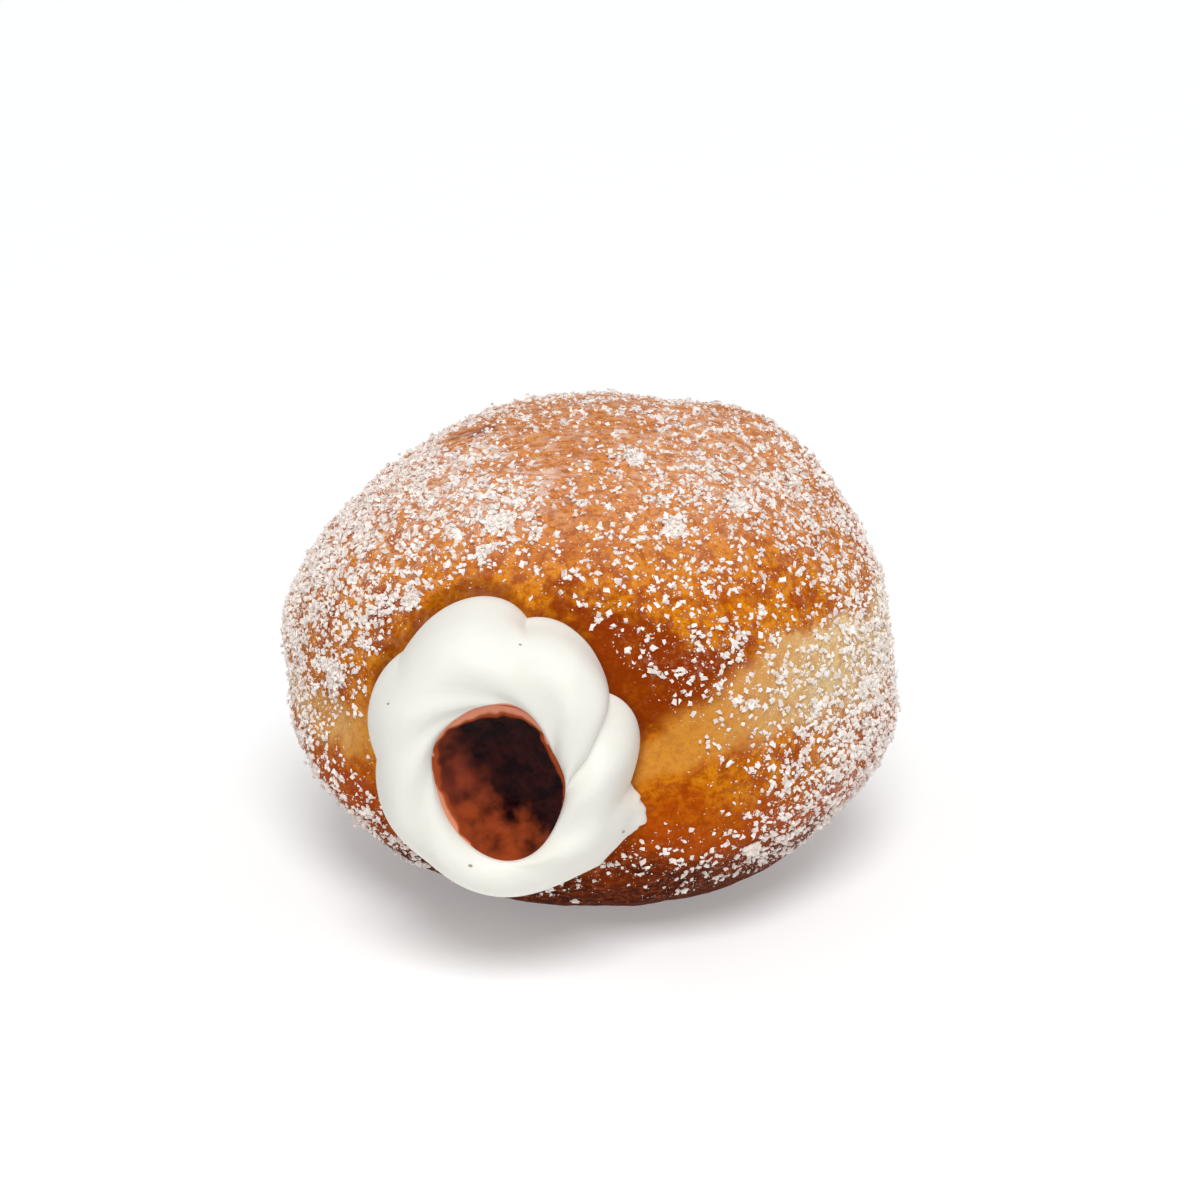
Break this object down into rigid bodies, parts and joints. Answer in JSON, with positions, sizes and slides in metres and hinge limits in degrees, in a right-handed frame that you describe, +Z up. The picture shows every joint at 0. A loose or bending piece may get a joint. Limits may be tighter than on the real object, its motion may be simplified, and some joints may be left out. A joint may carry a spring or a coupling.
{
  "type": "doughnut",
  "caption": "Round sugared doughnut with no hole, filled through its side, with a piped swirl of cream round a well of dark jam.",
  "frame": {"origin": "middle of the flat foot that the dough rests on", "axes": "+Z up, -Y out through the cream swirl, +X to the right as seen from the front"},
  "size_m": [0.0881, 0.0956, 0.0694],
  "materials": {
    "crust": "fried crust, golden brown, matt and dusted with sugar",
    "cream": "piped cream, soft sheen",
    "jam": "dark red jam, wet gloss",
    "sugar": "granulated sugar crystals, white and slightly glassy"
  },
  "bodies": {
    "root": {"dough": "crust", "cream": "cream", "jam": "jam"}
  },
  "joints": []
}
